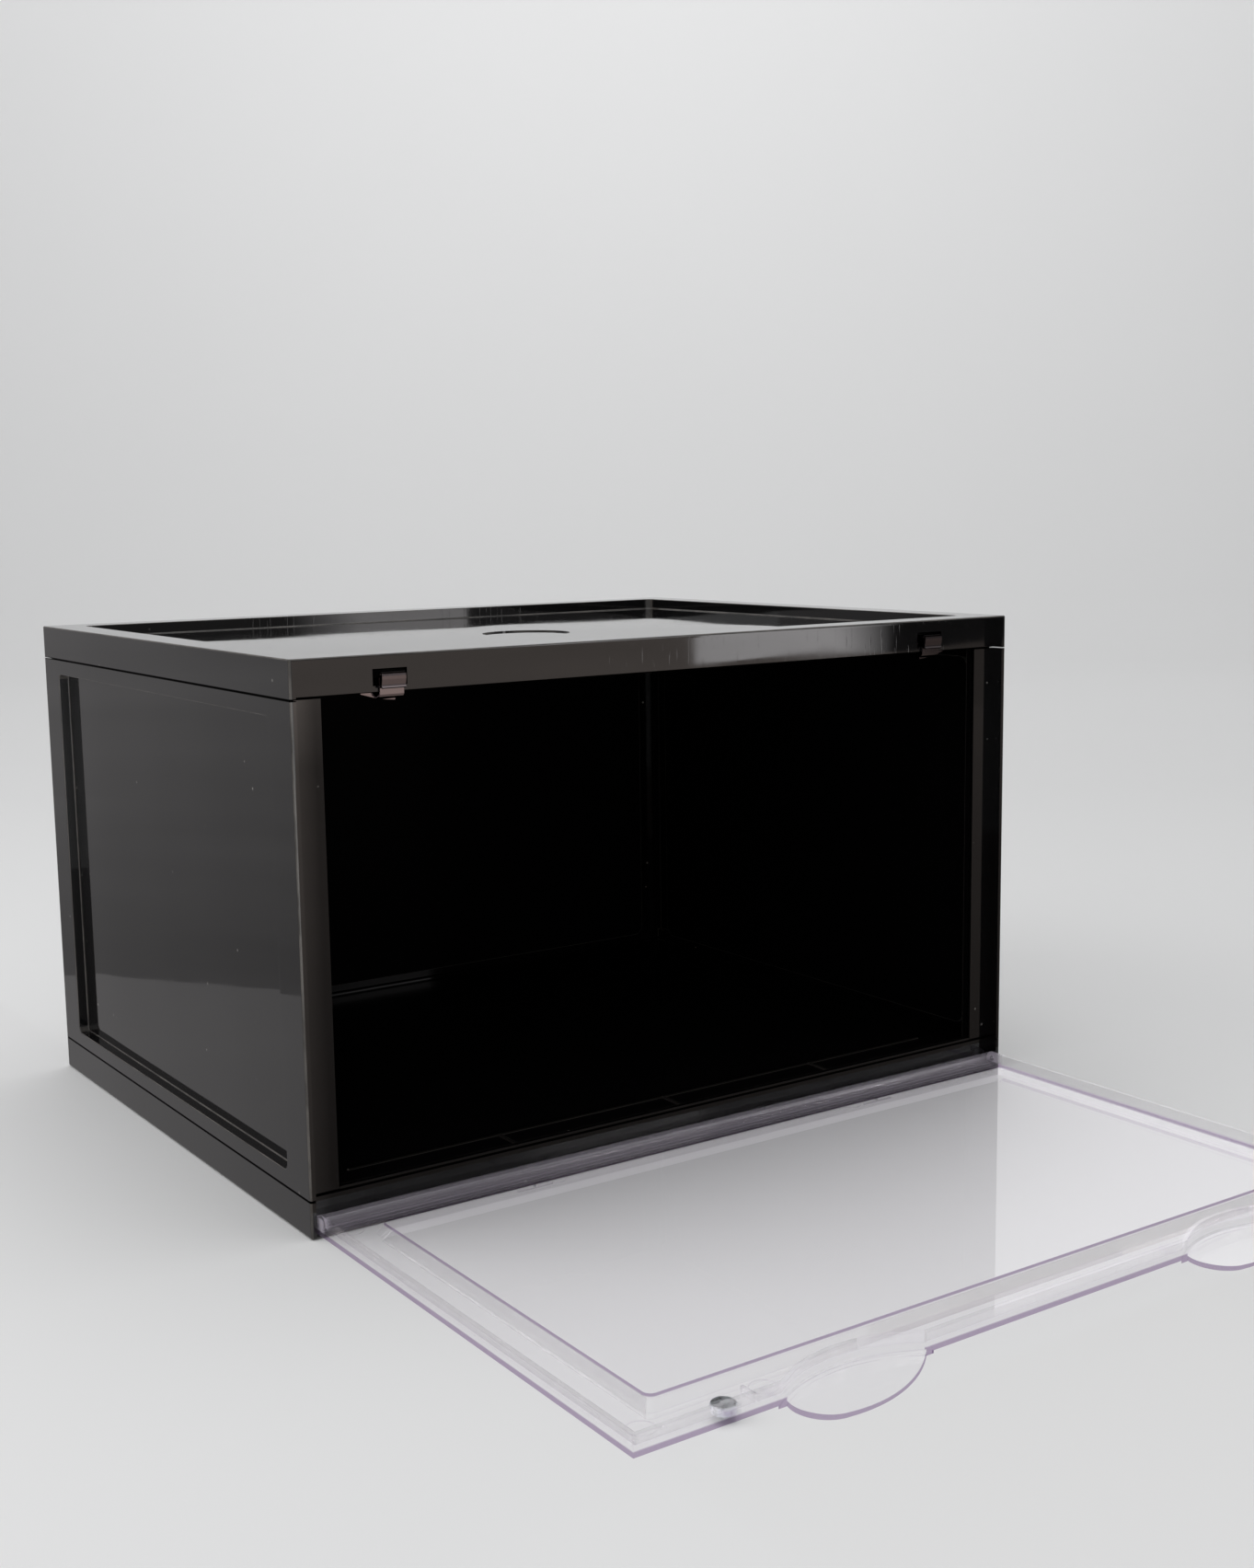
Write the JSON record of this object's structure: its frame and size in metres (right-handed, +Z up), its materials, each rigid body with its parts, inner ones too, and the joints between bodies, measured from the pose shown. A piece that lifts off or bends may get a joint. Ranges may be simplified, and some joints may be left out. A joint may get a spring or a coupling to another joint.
{
  "type": "shoe box",
  "caption": "Stackable drop-front shoe box: black panelled case with a recessed lid and a clear hinged front door, stored open, held shut by magnets and steel clips.",
  "frame": {"origin": "middle of the base's underside, the plane the box stands on", "axes": "+X to the right, +Y to the back, +Z up; the door lies open along -Y"},
  "size_m": [0.36, 0.5017, 0.217],
  "materials": {
    "black_shell": "polished black moulding",
    "clear_door": "clear with a faint violet tint in the edges",
    "clip_steel": "pressed steel strip",
    "magnet_nickel": "nickel plated"
  },
  "bodies": {
    "case": {"base_panel": "black_shell", "side_panel_left": "black_shell", "side_panel_right": "black_shell", "back_panel": "black_shell", "lid_panel": "black_shell", "catch_clip_left": "clip_steel", "catch_clip_right": "clip_steel"},
    "door": {"door_panel": "clear_door", "magnet_left": "magnet_nickel", "magnet_right": "magnet_nickel"}
  },
  "joints": [
    {"name": "door_hinge", "type": "hinge", "parent": "case", "child": "door", "pos_m": [0, -0.138, 0.0048], "axis": [-1, 0, 0], "range_deg": [0, 90]}
  ]
}
